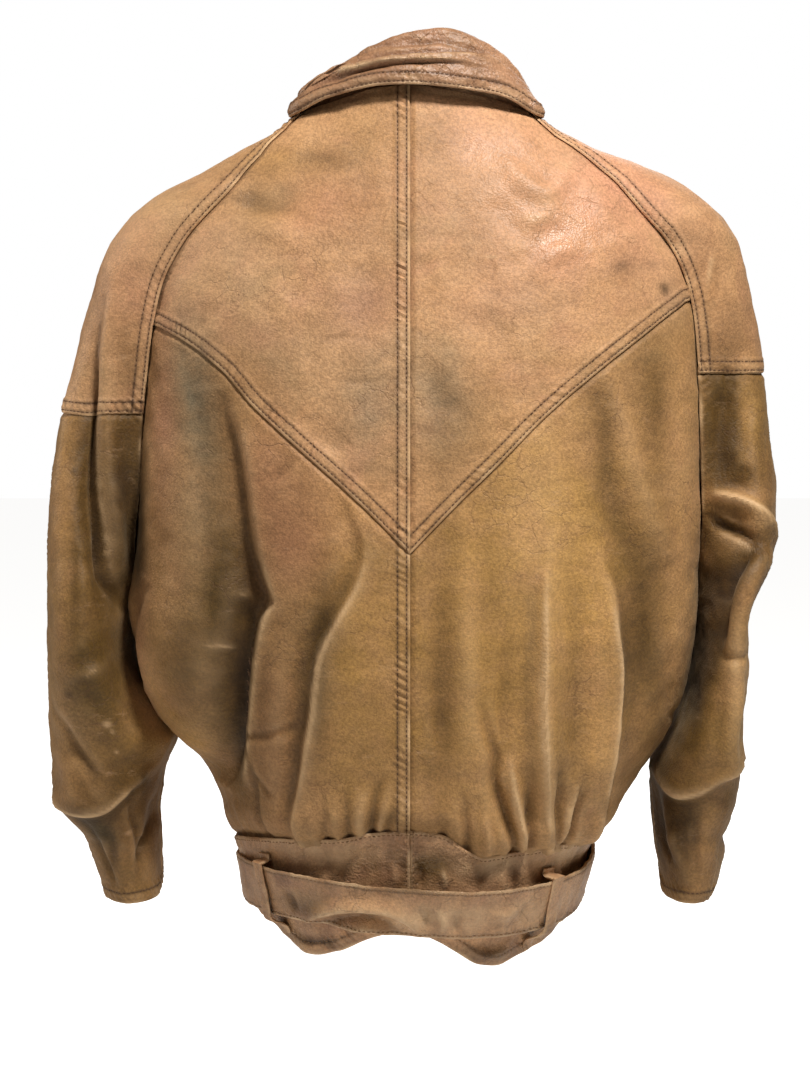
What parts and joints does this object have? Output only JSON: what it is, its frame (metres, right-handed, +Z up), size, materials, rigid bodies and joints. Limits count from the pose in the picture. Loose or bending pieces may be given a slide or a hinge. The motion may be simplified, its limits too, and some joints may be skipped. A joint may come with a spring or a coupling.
{
  "type": "leather jacket",
  "caption": "Worn tan leather blouson, filled out with no wearer: turned-down collar, V-yoked back, raglan-type shoulders, gathered waistband and a stitched belt in loops.",
  "frame": {"origin": "between the wearer's shoulders, level with the side of the neck seam, where the wearer carries it", "axes": "+Z up towards the collar, +Y towards the wearer's front, +X towards the wearer's right arm as worn"},
  "size_m": [0.5926, 0.3023, 0.7344],
  "materials": {
    "tan_leather": "worn nubuck, nearly matt",
    "brown_leather": "worn, slightly waxed",
    "zip_tape": "matt woven tape",
    "brass": "aged, satin"
  },
  "bodies": {
    "jacket": {"back_yoke_left": "tan_leather", "back_yoke_right": "tan_leather", "back_lower_left": "tan_leather", "back_lower_right": "tan_leather", "front_left": "tan_leather", "front_right": "tan_leather", "sleeve_cap_left": "tan_leather", "sleeve_cap_right": "tan_leather", "sleeve_back_left": "tan_leather", "sleeve_back_right": "tan_leather", "sleeve_front_left": "tan_leather", "sleeve_front_right": "tan_leather", "cuff_flap_left": "tan_leather", "cuff_flap_right": "tan_leather", "collar_stand": "tan_leather", "collar_fall": "tan_leather", "waistband_back_left": "brown_leather", "waistband_back_right": "brown_leather", "waistband_front_left": "brown_leather", "waistband_front_right": "brown_leather", "belt": "brown_leather", "belt_keeper": "brown_leather", "loop_front_left": "brown_leather", "loop_back_left": "brown_leather", "loop_back_right": "brown_leather", "loop_front_right": "brown_leather", "buckle_frame": "brass", "buckle_prong": "brass", "zip_tape_left": "zip_tape", "zip_tape_right": "zip_tape", "zip_chain": "brass", "zip_slider": "brass"},
    "pull": {"zip_pull": "brass"}
  },
  "joints": [
    {"name": "zip_pull_swing", "type": "hinge", "parent": "jacket", "child": "pull", "pos_m": [0, 0.09904, -0.08919], "axis": [1, 0, 0], "range_deg": [0, 170]}
  ]
}
